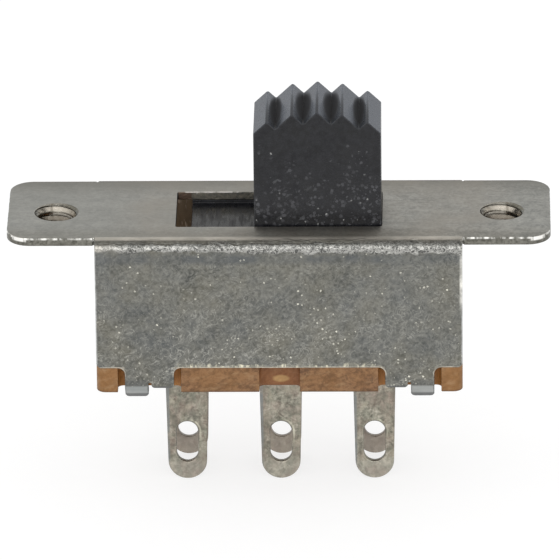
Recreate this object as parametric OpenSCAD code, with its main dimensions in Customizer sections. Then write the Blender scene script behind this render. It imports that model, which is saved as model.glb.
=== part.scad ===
// Panel slide switch: two poles, two positions, six solder lugs.
// A pressed steel frame is folded down over a laminated terminal board, and four
// fingers of the frame are clinched under the board to hold everything together.
// Axes: +X along the travel, +Y across the switch, +Z out through the panel.
// Origin: top face of the frame, midway between the two tapped ear holes.
// The holes lie a little in front of the frame's own centre line.

/* [Frame] */
// Length of the folded channel
body_len = 23.5; // [20:0.1:32]
// Width over the folded walls
frame_w = 10.2; // [8.6:0.1:13]
// Width of the ears
ear_w = 9.1; // [7:0.1:12]
// Height from the top face to the lower edges of the walls
wall_h = 8.9; // [7.5:0.1:12]
// Thickness of the sheet steel
sheet_t = 0.55; // [0.4:0.05:0.8]
// Inside radius of the two long folds
fold_r = 0.1; // [0.1:0.05:0.8]
// Corner radius of the ears
ear_corner_r = 1.5; // [0.5:0.1:2.5]
// Width of the nick between each ear and the fold
relief_w = 0.1; // [0.1:0.05:0.4]
// Corner radius at the lower ends of the walls
wall_corner_r = 0.35; // [0.1:0.05:0.8]

/* [Tapped ear holes] */
// Distance from the end of the channel to the hole's centre
hole_out = 2.55; // [2.3:0.05:5]
// Distance from the hole's centre to the end of the ear
hole_end = 3.1; // [2.4:0.05:6]
// How far the line of the holes lies in front of the frame's centre line
hole_forward = 0.4; // [0:0.05:0.8]
// Diameter of the plain wall that carries the fine thread
thread_bore_d = 2.3; // [1.8:0.05:3]
// Diameter of the countersunk mouth
mouth_d = 2.87; // [2.4:0.01:3.8]
// Outside diameter of the collar drawn down round the hole
collar_d = 3.3; // [2.8:0.05:4]
// Height of the collar below the sheet
collar_h = 0.6; // [0.2:0.05:1.2]

/* [Slot] */
// Length of the slot in the top face
slot_len = 13.2; // [11:0.1:16]
// Width of the land between the slot and the outside of each wall
slot_land = 2.325; // [1.9:0.025:3.5]
// Corner radius of the slot
slot_corner_r = 0.15; // [0.05:0.05:0.5]

/* [Clinch tabs] */
// Width of each tab at the root
tab_w = 3.15; // [2.4:0.05:4.5]
// Distance from the end of the channel to the tab
tab_inset = 1.82; // [1:0.01:4]
// Radius of the fillets at the tab's root
tab_root_r = 0.45; // [0.1:0.05:0.8]
// Width of the finger at the outer side of each tab
finger_w = 1.5; // [1:0.05:2.4]
// Width of the slit between the finger and the rest of the tab
slit_w = 0.2; // [0.15:0.01:0.4]
// How far the slit reaches above the finger's bend
slit_up = 0.1; // [0.05:0.05:0.3]
// Angle through which the fingers are bent inwards
finger_angle = 45; // [30:1:60]
// Inside radius of the finger's bend
finger_r = 0.2; // [0.1:0.05:0.5]
// Length of the finger beyond the bend
finger_len = 1; // [0.7:0.05:1.6]
// Corner radius at the end of the finger
finger_corner_r = 0.3; // [0.1:0.05:0.6]
// How far the tab's inner half stops above the board's lower face
tab_short = 0.3; // [0.1:0.01:0.8]

/* [Terminal board] */
// Thickness of the laminated board
board_t = 1.7; // [1.2:0.1:2.4]
// Corner radius of the board, seen from above
board_corner_r = 0.6; // [0.2:0.05:1.2]
// Depth of the notches in the board's long edges
notch_depth = 1.05; // [0.85:0.05:1.4]
// Room beside each tab in its notch
notch_room = 0.45; // [0.2:0.05:0.8]
// Width of the small notch at the middle of each long edge
mid_notch_w = 2.6; // [1:0.01:4]
// Corner radius in the notches
notch_r = 0.35; // [0.1:0.05:0.4]

/* [Fibre liner] */
// Thickness of the fibre sheet
liner_t = 0.25; // [0.15:0.01:0.3]
// Distance from the end of the channel to the liner
liner_inset = 0.3; // [0.1:0.05:0.6]
// Width of the strips that join the liner's two sides
liner_bridge = 0.45; // [0.3:0.05:0.7]
// How much rounder the liner's folds are than the frame's
liner_ease = 0.2; // [0.18:0.01:0.3]
// Gap between the liner's window and the rubbing rails
window_gap = 0.1; // [0.05:0.05:0.3]
// Gap between the liner's lower edges and the board
liner_foot_gap = 0.05; // [0.02:0.01:0.2]

/* [Terminals] */
// Distance between neighbouring terminals in a row
lug_pitch = 6.05; // [5:0.05:8]
// Thickness of the terminal strip
lug_t = 0.4; // [0.3:0.05:0.6]
// Length of the lug below the board
lug_len = 7.5; // [5:0.1:10]
// Width of the lug at the board
lug_root_w = 2.75; // [2:0.05:4]
// Width of the lug at its round tip
lug_tip_w = 2.5; // [1.8:0.05:3.4]
// Width of the eye for the wire
eye_w = 1.38; // [0.8:0.02:1.6]
// Length of the eye
eye_len = 2.85; // [1.8:0.05:4]
// Distance from the tip to the lower end of the eye
eye_foot = 1.2; // [0.8:0.05:2]
// Width of the neck through the board, and of the contact head
neck_w = 1.8; // [1.2:0.05:2.2]
// Clearance round the neck in the board
neck_gap = 0.03; // [0.01:0.01:0.1]
// Inside radius of the bend above the board
head_r = 0.15; // [0.1:0.05:0.3]
// Length of the contact head, measured across the switch
head_len = 1.8; // [1.4:0.05:2.2]
// Gap between the contact heads and the liner
head_gap = 0.8; // [0.4:0.05:1]

/* [Knob] */
// Length of the knob along the travel
knob_len = 8.15; // [6.5:0.05:10]
// Height of the middle ridge above the top face
knob_h = 7.8; // [5:0.05:12]
// Gap between the knob and each long edge of the slot
knob_gap = 0.18; // [0.1:0.01:0.3]
// Gap left between the knob and the end of the slot at its stops
stop_gap = 0.025; // [0.02:0.005:0.1]
// Number of finger ridges
ridge_n = 5; // [3:1:7]
// Distance between the ridges
ridge_pitch = 1.6; // [1.2:0.05:2]
// Slope of the ridge flanks, in degrees
ridge_angle = 43.5; // [25:0.5:50]
// Radius on the crest of each ridge
ridge_r = 0.15; // [0.04:0.01:0.2]
// Radius at the foot of each valley between the ridges
valley_r = 0.08; // [0.04:0.01:0.15]
// Radius of the dome that the crests follow along the travel
crown_r = 8; // [6:0.5:40]

/* [Slider carriage] */
// Room left at each end of the channel when the slider is at its stop
end_room = 1.1; // [0.5:0.1:2]
// Gap between the carriage and the liner
slide_gap = 0.1; // [0.05:0.01:0.2]
// Running gap between the rubbing rails and the sheet
rail_gap = 0.05; // [0.02:0.01:0.1]
// Height of the rubbing rails
rail_h = 0.23; // [0.1:0.01:0.5]
// Width of the rubbing rails
rail_w = 0.4; // [0.2:0.05:0.45]
// Distance from the slot's edge to each rubbing rail
rail_land = 0.1; // [0.05:0.05:0.3]
// Height of the chamfers that clear the frame's folds
chamfer_h = 0.5; // [0.3:0.05:0.8]
// Height of the carriage above the board
carriage_lift = 1.3; // [1:0.05:2]
// Wall of the carriage round its pockets
carriage_wall = 0.7; // [0.5:0.05:1]
// Depth of the cored pockets at the two ends
core_depth = 4.2; // [2:0.1:5]

/* [Contact shoes and springs] */
// Thickness of the contact shoe
shoe_t = 0.3; // [0.2:0.02:0.4]
// Width of the contact shoe
shoe_w = 1.5; // [1.2:0.05:1.8]
// How far the shoe reaches past the middle of the outer heads
shoe_over = 0.55; // [0.3:0.05:0.9]
// Height of the upturned ends of the shoe
shoe_h = 1.35; // [1:0.05:2]
// Outside radius of the shoe's bends
shoe_r = 0.6; // [0.35:0.05:0.8]
// Running gap between the shoe and the contact heads
shoe_gap = 0.03; // [0.02:0.01:0.1]
// Gap between the shoe and its pocket
pocket_gap = 0.05; // [0.03:0.01:0.1]
// Wall between the shoe's pocket and the side of the carriage
pocket_side = 0.8; // [0.6:0.05:1]
// Depth of the pocket that holds the shoe
pocket_depth = 0.9; // [0.5:0.05:1.2]
// Outside diameter of the contact spring
spring_d = 1.3; // [1:0.05:1.4]
// Diameter of the spring wire
wire_d = 0.22; // [0.15:0.01:0.3]
// Number of turns of the spring
spring_turns = 6; // [4:1:9]
// Depth of the spring's bore above the shoe's pocket
bore_depth = 2.7; // [1.5:0.1:3.5]
// Gap at each end of the spring
spring_end_gap = 0.02; // [0.01:0.01:0.05]

/* [Hidden] */
$fn = 64;
eps = 0.01;
half_w = frame_w / 2;
half_len = body_len / 2;
flat_half = half_w - sheet_t - fold_r;
hole_x = half_len + hole_out;
ear_len = hole_x + hole_end;
slot_w = frame_w - 2 * slot_land;
board_z = -wall_h - board_t;
notch_y = half_w - notch_depth;

// The finger's bend starts where its inner face just clears the board's lower edge.
tab_x = half_len - tab_inset - tab_w / 2;
clinch_gap = 0.02;
notch_room_y = half_w - sheet_t - notch_y;
clinch_z = board_z + finger_r * sin(finger_angle)
         + (notch_room_y - finger_r * (1 - cos(finger_angle))) / tan(finger_angle)
         - clinch_gap / sin(finger_angle);
finger_drop = (finger_r + sheet_t) * sin(finger_angle) + finger_len * cos(finger_angle);

liner_y = half_w - sheet_t;
inner_y = liner_y - liner_t;
head_y = inner_y - head_gap;
row_y = head_y - head_len + lug_t / 2;
head_top = -wall_h + head_r + lug_t;

travel = slot_len - knob_len - 2 * stop_gap;
slider_x = travel / 2;
knob_w = slot_w - 2 * knob_gap;
carriage_y = inner_y - slide_gap;
carriage_half = half_len - end_room - travel / 2;
carriage_top = -sheet_t - rail_gap - rail_h;
carriage_z = -wall_h + carriage_lift;
rail_y = slot_w / 2 + rail_land;
chamfer_y = rail_y + rail_w;
chamfer_z = carriage_top - chamfer_h;

shoe_half = lug_pitch - travel / 2 + shoe_over;
shoe_y = carriage_y - pocket_side - pocket_gap - shoe_w / 2;
shoe_z = head_top + shoe_gap;
pocket_half = shoe_half + pocket_gap;
pocket_z = carriage_z + pocket_depth;
core_len = carriage_half - pocket_half - 2 * carriage_wall;
core_w = 2 * (carriage_y - carriage_wall);
bore_z = pocket_z + bore_depth;
spring_z = shoe_z + shoe_t + spring_end_gap;
spring_len = bore_z - spring_end_gap - spring_z;

steel = [0.62, 0.62, 0.58];
fibre = [0.42, 0.26, 0.16];
laminate = [0.66, 0.44, 0.22];
tinned = [0.66, 0.64, 0.58];
moulding = [0.13, 0.13, 0.14];
copper = [0.75, 0.52, 0.32];
wire_grey = [0.55, 0.55, 0.55];

// ---- shared forms ----

// Everything is drawn about the frame's centre line, then set behind the line of the holes.
module seat() {
  translate([0, hole_forward, 0])
    children();
}

// Rectangle with round corners, centred.
module round_rect(w, h, r) {
  square([w - 2 * r, h], center = true);
  square([w, h - 2 * r], center = true);
  for (sx = [-1, 1])
    for (sy = [-1, 1])
      translate([sx * (w / 2 - r), sy * (h / 2 - r)])
        circle(r);
}

// What a convex corner of radius r loses; the corner is at the origin, material to -x and +y.
module corner_cut(r) {
  translate([-r, 0])
    difference() {
      translate([0, -eps])
        square([r + eps, r + eps]);
      translate([0, r])
        circle(r);
    }
}

// What a concave fillet of radius r adds; the corner is at the origin, filled towards +x and -y.
module fillet_add(r) {
  difference() {
    translate([-eps, -r])
      square([r + eps, r + eps]);
    translate([r, -r])
      circle(r);
  }
}

// Section of a sheet folded down on both sides, drawn across the switch.
module fold_section(half, t, r, depth) {
  translate([-(half - t - r), -t])
    square([2 * (half - t - r), t]);
  for (side = [0, 1])
    mirror([side, 0]) {
      translate([half - t, -depth])
        square([t, depth - t - r]);
      translate([half - t - r, -t - r])
        intersection() {
          difference() {
            circle(r + t);
            circle(r);
          }
          square([r + t, r + t]);
        }
    }
}

// Lays a section drawn across the switch along X.
module along_x(len) {
  rotate([90, 0, 90])
    linear_extrude(height = len, center = true)
      children();
}

// Lays an outline drawn from the front through Y.
module along_y(len) {
  rotate([90, 0, 0])
    linear_extrude(height = len, center = true)
      children();
}

// ---- frame ----

// Ears and the flat between the folds, seen from above.
module top_plan() {
  difference() {
    round_rect(2 * ear_len, ear_w, ear_corner_r);
    for (side = [-1, 1])
      translate([0, side * (flat_half + half_w)])
        square([body_len + 2 * relief_w, 2 * half_w], center = true);
  }
  square([body_len, 2 * flat_half], center = true);
}

// One tab from the front, its middle at x = 0 and its finger towards -x.
module tab_outline() {
  tab_z = board_z + tab_short;
  slit_x = -tab_w / 2 + finger_w + slit_w;
  difference() {
    translate([-tab_w / 2, tab_z])
      square([tab_w, -wall_h - tab_z + eps]);
    translate([tab_w / 2, tab_z])
      corner_cut(tab_root_r / 2);
    translate([slit_x, tab_z])
      mirror([1, 0])
        corner_cut(tab_root_r / 2);
    translate([slit_x - slit_w, tab_z - eps])
      square([slit_w, clinch_z + slit_up - tab_z + eps]);
  }
  for (side = [0, 1])
    mirror([side, 0])
      translate([tab_w / 2, -wall_h])
        fillet_add(tab_root_r);
}

// Wall and tabs from the front, down to where the fingers start to bend.
module wall_outline() {
  difference() {
    translate([-half_len, -wall_h])
      square([body_len, wall_h + 1]);
    for (side = [0, 1])
      mirror([side, 0])
        translate([half_len, -wall_h])
          corner_cut(wall_corner_r);
  }
  for (side = [0, 1])
    mirror([side, 0])
      translate([-tab_x, 0])
        difference() {
          tab_outline();
          translate([-tab_w / 2 - eps, clinch_z - 2])
            square([finger_w + slit_w / 2, 2]);
        }
}

// Section through one clinched finger, on the +Y wall.
module finger_section() {
  reach = 2 * (finger_r + sheet_t);
  translate([half_w - sheet_t - finger_r, clinch_z]) {
    intersection() {
      difference() {
        circle(finger_r + sheet_t);
        circle(finger_r);
      }
      polygon([[0, 0], [reach, 0], [reach, -reach * tan(finger_angle)]]);
    }
    rotate(-finger_angle)
      translate([finger_r, -finger_len])
        square([sheet_t, finger_len]);
  }
}

module finger() {
  intersection() {
    along_x(finger_w)
      finger_section();
    translate([0, 0, clinch_z])
      along_y(frame_w)
        difference() {
          translate([-finger_w / 2, -finger_drop])
            square([finger_w, finger_drop]);
          for (side = [0, 1])
            mirror([side, 0])
              translate([finger_w / 2, -finger_drop])
                corner_cut(finger_corner_r);
        }
  }
}

module ear_collar() {
  translate([0, 0, -sheet_t - collar_h])
    cylinder(d = collar_d, h = collar_h + sheet_t / 2);
}

module ear_bore() {
  countersink = (mouth_d - thread_bore_d) / 2;
  translate([0, 0, -sheet_t - collar_h - 1])
    cylinder(d = thread_bore_d, h = sheet_t + collar_h + 2);
  translate([0, 0, -countersink])
    cylinder(d1 = thread_bore_d, d2 = mouth_d + 2 * eps, h = countersink + eps);
}

module frame() {
  color(steel)
    difference() {
      union() {
        translate([0, 0, -sheet_t])
          linear_extrude(height = sheet_t)
            top_plan();
        intersection() {
          along_x(body_len)
            fold_section(half_w, sheet_t, fold_r, wall_h + board_t);
          along_y(2 * frame_w)
            wall_outline();
        }
        for (sx = [0, 1])
          for (sy = [0, 1])
            mirror([sx, 0, 0])
              mirror([0, sy, 0])
                translate([-tab_x - (tab_w - finger_w) / 2, 0, 0])
                  finger();
        for (side = [-1, 1])
          translate([side * hole_x, -hole_forward, 0])
            ear_collar();
      }
      translate([0, 0, -sheet_t - 1])
        linear_extrude(height = sheet_t + 2)
          round_rect(slot_len, slot_w, slot_corner_r);
      for (side = [-1, 1])
        translate([side * hole_x, -hole_forward, 0])
          ear_bore();
    }
}

// ---- fibre liner: folded like the frame, with a window for the carriage ----

module liner() {
  liner_len = body_len - 2 * liner_inset;
  drop = wall_h - sheet_t - liner_foot_gap;
  window = liner_len - 2 * liner_bridge;
  color(fibre)
    difference() {
      translate([0, 0, -sheet_t])
        along_x(liner_len)
          fold_section(liner_y, liner_t, fold_r + liner_ease - liner_t, drop);
      translate([0, 0, -sheet_t])
        cube([window, 2 * (chamfer_y + window_gap), 4 * liner_t], center = true);
    }
}

// ---- terminal board ----

module notch_plan(w) {
  translate([0, notch_y + frame_w / 2])
    round_rect(w, frame_w, notch_r);
}

module board_plan() {
  difference() {
    round_rect(body_len, frame_w, board_corner_r);
    for (side = [0, 1])
      mirror([0, side]) {
        notch_plan(mid_notch_w);
        for (sx = [-1, 1])
          translate([sx * tab_x, 0])
            notch_plan(tab_w + 2 * notch_room);
      }
    for (sx = [-1, 0, 1])
      for (sy = [-1, 1])
        translate([sx * lug_pitch, sy * row_y])
          square([neck_w + 2 * neck_gap, lug_t + 2 * neck_gap], center = true);
  }
}

module terminal_board() {
  color(laminate)
    translate([0, 0, board_z])
      linear_extrude(height = board_t)
        board_plan();
}

// ---- terminals: solder lug, neck through the board, contact head folded over ----

module lug_outline() {
  tip_r = lug_tip_w / 2;
  eye_r = eye_w / 2;
  tip_z = board_z - lug_len;
  difference() {
    union() {
      polygon([[-lug_root_w / 2, board_z], [lug_root_w / 2, board_z],
               [tip_r, tip_z + tip_r], [-tip_r, tip_z + tip_r]]);
      translate([0, tip_z + tip_r])
        circle(tip_r);
      translate([-neck_w / 2, board_z - eps])
        square([neck_w, board_t + eps]);
    }
    translate([0, tip_z + eye_foot + eye_r])
      circle(eye_r);
    translate([0, tip_z + eye_foot + eye_len - eye_r])
      circle(eye_r);
    translate([-eye_r, tip_z + eye_foot + eye_r])
      square([eye_w, eye_len - eye_w]);
  }
}

// Bend and head, drawn across the switch for the +Y row.
module head_section() {
  bend_y = row_y + lug_t / 2 + head_r;
  translate([bend_y, -wall_h])
    intersection() {
      difference() {
        circle(head_r + lug_t);
        circle(head_r);
      }
      translate([-head_r - lug_t, 0])
        square([head_r + lug_t, head_r + lug_t]);
    }
  translate([bend_y, -wall_h + head_r])
    square([head_y - bend_y, lug_t]);
}

// A terminal of the +Y row; side mirrors it to the -Y row.
module terminal(x, side) {
  color(tinned)
    translate([x, 0, 0])
      mirror([0, side, 0]) {
        translate([0, row_y, 0])
          along_y(lug_t)
            lug_outline();
        along_x(neck_w)
          head_section();
      }
}

// ---- slider: ridged knob and carriage in one moulding ----

function crest_x(i) = (i - (ridge_n - 1) / 2) * ridge_pitch;
function crest_z(i) = knob_h - crown_r + sqrt(crown_r * crown_r - crest_x(i) * crest_x(i));
function apex_z(i) = crest_z(i) + ridge_r * (1 / cos(ridge_angle) - 1);
function valley_x(i) = (crest_x(i) + crest_x(i + 1)) / 2
                     + (apex_z(i) - apex_z(i + 1)) / (2 * tan(ridge_angle));
function valley_z(i) = apex_z(i) - (valley_x(i) - crest_x(i)) * tan(ridge_angle);
function flank_x(i, side) = crest_x(i) + side * ridge_r * sin(ridge_angle);
function flank_z(i) = crest_z(i) - ridge_r + ridge_r * cos(ridge_angle);
end_z = apex_z(0) - (knob_len / 2 + crest_x(0)) * tan(ridge_angle);

module knob_outline() {
  last = ridge_n - 1;
  foot_x = valley_r * sin(ridge_angle);
  foot_z = valley_r * (1 / cos(ridge_angle) - cos(ridge_angle));
  difference() {
    polygon(concat(
      [[-knob_len / 2, carriage_top - eps], [-knob_len / 2, end_z]],
      [for (i = [0:last])
        for (k = [0:(i < last ? 3 : 1)])
          k < 2
            ? [flank_x(i, 2 * k - 1), flank_z(i)]
            : [valley_x(i) + (2 * k - 5) * foot_x, valley_z(i) + foot_z]],
      [[knob_len / 2, end_z], [knob_len / 2, carriage_top - eps]]));
    for (i = [0:last - 1])
      translate([valley_x(i), valley_z(i) + valley_r / cos(ridge_angle)])
        circle(valley_r);
  }
  for (i = [0:last])
    translate([crest_x(i), crest_z(i) - ridge_r])
      circle(ridge_r);
}

module carriage_section() {
  polygon([[-carriage_y, carriage_z], [carriage_y, carriage_z],
           [carriage_y, chamfer_z], [chamfer_y, carriage_top],
           [-chamfer_y, carriage_top], [-carriage_y, chamfer_z]]);
  for (side = [0, 1])
    mirror([side, 0])
      translate([rail_y, carriage_top - eps])
        square([rail_w, rail_h + eps]);
}

module slider() {
  color(moulding)
    translate([slider_x, 0, 0])
      difference() {
        union() {
          along_y(knob_w)
            knob_outline();
          along_x(2 * carriage_half)
            carriage_section();
        }
        for (side = [-1, 1]) {
          translate([-pocket_half, side * shoe_y - shoe_w / 2 - pocket_gap, carriage_z - 1])
            cube([2 * pocket_half, shoe_w + 2 * pocket_gap, pocket_depth + 1]);
          translate([0, side * shoe_y, carriage_z])
            cylinder(d = spring_d + 2 * pocket_gap, h = bore_z - carriage_z);
          translate([side * (carriage_half - carriage_wall - core_len / 2), 0, carriage_z])
            cube([core_len, core_w, 2 * core_depth], center = true);
        }
      }
}

// ---- contact shoes: strips with upturned ends that bridge two heads ----

module shoe_outline() {
  inner_r = shoe_r - shoe_t;
  translate([-shoe_half + shoe_r, 0])
    square([2 * (shoe_half - shoe_r), shoe_t]);
  for (side = [0, 1])
    mirror([side, 0]) {
      translate([shoe_half - shoe_r, shoe_r])
        intersection() {
          difference() {
            circle(shoe_r);
            circle(inner_r);
          }
          translate([0, -shoe_r])
            square([shoe_r, shoe_r]);
        }
      translate([shoe_half - shoe_t, shoe_r])
        square([shoe_t, shoe_h - shoe_r]);
    }
}

module shoe(side) {
  color(copper)
    translate([slider_x, side * shoe_y, shoe_z])
      along_y(shoe_w)
        shoe_outline();
}

// ---- contact springs: helical, one above each shoe ----

coil_steps = 14;
coil_sides = 6;
coil_r = (spring_d - wire_d) / 2;
coil_rise = spring_len - wire_d;
function coil_point(i, k) =
  let (turn = 360 * i / coil_steps, angle = 360 * k / coil_sides,
       out = coil_r + wire_d / 2 * cos(angle))
  [out * cos(turn), out * sin(turn),
   wire_d / 2 + coil_rise * i / (coil_steps * spring_turns) + wire_d / 2 * sin(angle)];

module spring(side) {
  rings = coil_steps * spring_turns;
  points = [for (i = [0:rings]) for (k = [0:coil_sides - 1]) coil_point(i, k)];
  skin = [for (i = [0:rings - 1])
            for (k = [0:coil_sides - 1])
              let (a = i * coil_sides + k, b = i * coil_sides + (k + 1) % coil_sides)
              [a, b, b + coil_sides, a + coil_sides]];
  foot = [[for (k = [coil_sides - 1:-1:0]) k]];
  head = [[for (k = [0:coil_sides - 1]) rings * coil_sides + k]];
  color(wire_grey)
    translate([slider_x, side * shoe_y, spring_z])
      polyhedron(points = points, faces = concat(skin, foot, head), convexity = 10);
}

// ---- parts ----

seat() frame();
seat() liner();
seat() terminal_board();
seat() terminal(-lug_pitch, 1);  // lug_front_left
seat() terminal(0, 1);  // lug_front_middle
seat() terminal(lug_pitch, 1);  // lug_front_right
seat() terminal(-lug_pitch, 0);  // lug_rear_left
seat() terminal(0, 0);  // lug_rear_middle
seat() terminal(lug_pitch, 0);  // lug_rear_right
seat() slider();
seat() shoe(-1);  // shoe_front
seat() shoe(1);  // shoe_rear
seat() spring(-1);  // spring_front
seat() spring(1);  // spring_rear
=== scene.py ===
# %% [markdown]
# # The looks of a small slide switch
#
# The switch is about 35 mm long: a folded steel frame, a ribbed black knob, a strip of brown
# laminate and six solder lugs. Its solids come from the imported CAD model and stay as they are.
# This lesson gives each of them a finish, adds the screw threads that are cut into the ears,
# and sets up a plain table-top studio around it.

# %% Load the frame
import math

import bpy
from mathutils import Matrix, Vector


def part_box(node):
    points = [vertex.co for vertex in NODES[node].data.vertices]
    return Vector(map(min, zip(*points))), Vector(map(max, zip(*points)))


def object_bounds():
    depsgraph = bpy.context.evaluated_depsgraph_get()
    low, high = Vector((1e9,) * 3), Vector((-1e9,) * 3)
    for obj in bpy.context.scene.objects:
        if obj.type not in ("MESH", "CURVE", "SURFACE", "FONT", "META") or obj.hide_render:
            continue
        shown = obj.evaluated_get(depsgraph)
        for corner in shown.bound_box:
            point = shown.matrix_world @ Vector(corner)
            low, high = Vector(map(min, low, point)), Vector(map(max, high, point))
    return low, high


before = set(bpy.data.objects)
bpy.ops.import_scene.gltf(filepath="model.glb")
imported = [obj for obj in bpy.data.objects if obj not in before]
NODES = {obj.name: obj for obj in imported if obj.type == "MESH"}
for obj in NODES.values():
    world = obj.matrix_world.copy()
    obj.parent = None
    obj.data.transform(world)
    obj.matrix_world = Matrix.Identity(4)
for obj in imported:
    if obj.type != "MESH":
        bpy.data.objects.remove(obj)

MM = 0.001
low_start, high_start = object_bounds()
print("parts:", ", ".join(sorted(NODES)))
print("size, mm:", [round(v / MM, 2) for v in high_start - low_start])

# %% [markdown]
# ## Working with shader nodes
#
# Every finish below is a tree of nodes. Making one takes three steps again and again: add a
# node, set a value on it, link a socket to it. One helper that does all three keeps each
# finish short enough to read, and a few more do the sums. Numbers and sockets can be mixed
# freely in all of them.

# %% Helpers for node trees
def put(tree, socket, value):
    """Links the value to the socket if it is itself a socket, and sets it there if not."""
    if isinstance(value, bpy.types.NodeSocket):
        tree.links.new(value, socket)
    else:
        socket.default_value = value


def add(tree, kind, inputs=None, **settings):
    node = tree.nodes.new(kind)
    for name, value in settings.items():
        setattr(node, name, value)
    for key, value in (inputs or {}).items():
        put(tree, node.inputs[key], value)
    return node


def split(tree, vector):
    return add(tree, "ShaderNodeSeparateXYZ", {0: vector}).outputs


def maths(tree, operation, a, b=0.0, clamp=False):
    node = add(tree, "ShaderNodeMath", {0: a, 1: b}, operation=operation, use_clamp=clamp)
    return node.outputs[0]


def minus(tree, a, b):
    return maths(tree, "SUBTRACT", a, b)


def plus(tree, *values):
    total = values[0]
    for value in values[1:]:
        total = maths(tree, "ADD", total, value)
    return total


def times(tree, *values):
    product = values[0]
    for value in values[1:]:
        product = maths(tree, "MULTIPLY", product, value)
    return product


def larger(tree, a, b):
    return maths(tree, "MAXIMUM", a, b)


def size_of(tree, value):
    """The value without its sign."""
    return maths(tree, "ABSOLUTE", value)


def squares(tree, a, b):
    """The square of a and the square of b, added together."""
    return plus(tree, times(tree, a, a), times(tree, b, b))


def length_of(tree, a, b):
    """The length of the slanting line that goes a to the side and b up."""
    return maths(tree, "SQRT", squares(tree, a, b))


def ramp(tree, value, low, high, to_low=0.0, to_high=1.0):
    """Value stretched from low..high to to_low..to_high, and held there beyond the ends."""
    node = add(tree, "ShaderNodeMapRange",
               {"Value": value, "From Min": low, "From Max": high, "To Min": to_low, "To Max": to_high})
    return node.outputs["Result"]


def band(tree, value, low, high, soft):
    """1 where the value lies between low and high, fading to 0 over soft on both sides."""
    return times(tree, ramp(tree, value, low - soft, low), ramp(tree, value, high + soft, high))


def mix(tree, factor, a, b):
    """Number a, turned into number b where the factor is 1."""
    return add(tree, "ShaderNodeMix", {0: factor, 2: a, 3: b}).outputs[0]


def blend(tree, factor, a, b):
    """Colour a, turned into colour b where the factor is 1."""
    node = add(tree, "ShaderNodeMix", {"Factor": factor}, data_type="RGBA")
    for socket, value in ((node.inputs[6], a), (node.inputs[7], b)):
        put(tree, socket, (*value, 1) if isinstance(value, tuple) else value)
    return node.outputs[2]


def paint(tree, color, coat, *cover):
    """The colour under a coat of another one, which covers it as far as all the covers say."""
    return blend(tree, times(tree, *cover), color, coat)


def noise(tree, vector, scale, detail=3.0, roughness=0.55, distortion=0.0):
    node = add(tree, "ShaderNodeTexNoise",
               {"Vector": vector, "Scale": scale, "Detail": detail, "Roughness": roughness,
                "Distortion": distortion})
    return node.outputs["Fac"]


def stretched(tree, vector, scale=(1, 1, 1), turn=(0, 0, 0)):
    """The coordinates turned, in degrees, and then scaled along each axis."""
    turned = add(tree, "ShaderNodeMapping",
                 {"Vector": vector, "Rotation": [math.radians(a) for a in turn]})
    sized = add(tree, "ShaderNodeMapping", {"Vector": turned.outputs[0], "Scale": scale})
    return sized.outputs[0]


def new_group(name, inputs, outputs):
    """An empty shader group. Each input is (name, value), each output (name, kind)."""
    tree = bpy.data.node_groups.new(name, "ShaderNodeTree")
    for label, value in inputs:
        kind = "NodeSocketVector" if value == "vector" else "NodeSocketFloat"
        socket = tree.interface.new_socket(label, in_out="INPUT", socket_type=kind)
        if value != "vector":
            socket.default_value = value
    for label, kind in outputs:
        tree.interface.new_socket(label, in_out="OUTPUT", socket_type="NodeSocket" + kind)
    return tree, tree.nodes.new("NodeGroupInput").outputs, tree.nodes.new("NodeGroupOutput").inputs


def use(tree, group, **values):
    """A group placed in a tree. Each keyword is the name of one of its inputs."""
    node = tree.nodes.new("ShaderNodeGroup")
    node.node_tree = group
    for name, value in values.items():
        put(tree, node.inputs[name], value)
    return node.outputs


def new_material(name):
    """A material with a Principled shader, and its coordinates in millimetres."""
    material = bpy.data.materials.new(name)
    material.use_nodes = True
    tree = material.node_tree
    shader = tree.nodes["Principled BSDF"]
    place = add(tree, "ShaderNodeTexCoord").outputs["Object"]
    in_mm = add(tree, "ShaderNodeVectorMath", {0: place, "Scale": 1 / MM}, operation="SCALE")
    return material, tree, shader, in_mm.outputs["Vector"]


def bump(tree, height, distance, strength=1.0, normal=None):
    """A bump of the given height in millimetres, on top of another one if there is one."""
    inputs = {"Height": height, "Distance": distance * MM, "Strength": strength}
    if normal is not None:
        inputs["Normal"] = normal
    return add(tree, "ShaderNodeBump", inputs).outputs["Normal"]


def finish_with(tree, shader, color, roughness, normal, metallic=0.0):
    inputs = {"Base Color": color, "Roughness": roughness, "Normal": normal, "Metallic": metallic}
    for name, value in inputs.items():
        put(tree, shader.inputs[name], value)


print("node helpers ready")

# %% [markdown]
# ## Shared effects
#
# Some effects turn up on more than one part, so each is a group made once: fine lines left by
# rolling or brushing, the mottling of tumbled metal, curling creases, specks of dust and glints,
# and a mask of the places close to an edge, where highlights and shade are painted.

# %% Fine parallel lines
tree, given, result = new_group(
    "fine_lines", [("Vector", "vector"), ("Along", 0.25), ("Across", 14.0)],
    [("Height", "Float"), ("Tone", "Float")])
sizes = add(tree, "ShaderNodeCombineXYZ",
            {"X": given["Along"], "Y": given["Across"], "Z": given["Across"]})
drawn = add(tree, "ShaderNodeVectorMath",
            {0: given["Vector"], 1: sizes.outputs[0]}, operation="MULTIPLY").outputs[0]
fine = noise(tree, drawn, 1.0, detail=4, roughness=0.7)
broad = noise(tree, drawn, 0.22, detail=2)
tree.links.new(ramp(tree, fine, 0.3, 0.7), result["Height"])
tree.links.new(ramp(tree, plus(tree, fine, broad), 0.7, 1.3), result["Tone"])
lines_group = tree
print("group:", tree.name)

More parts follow.
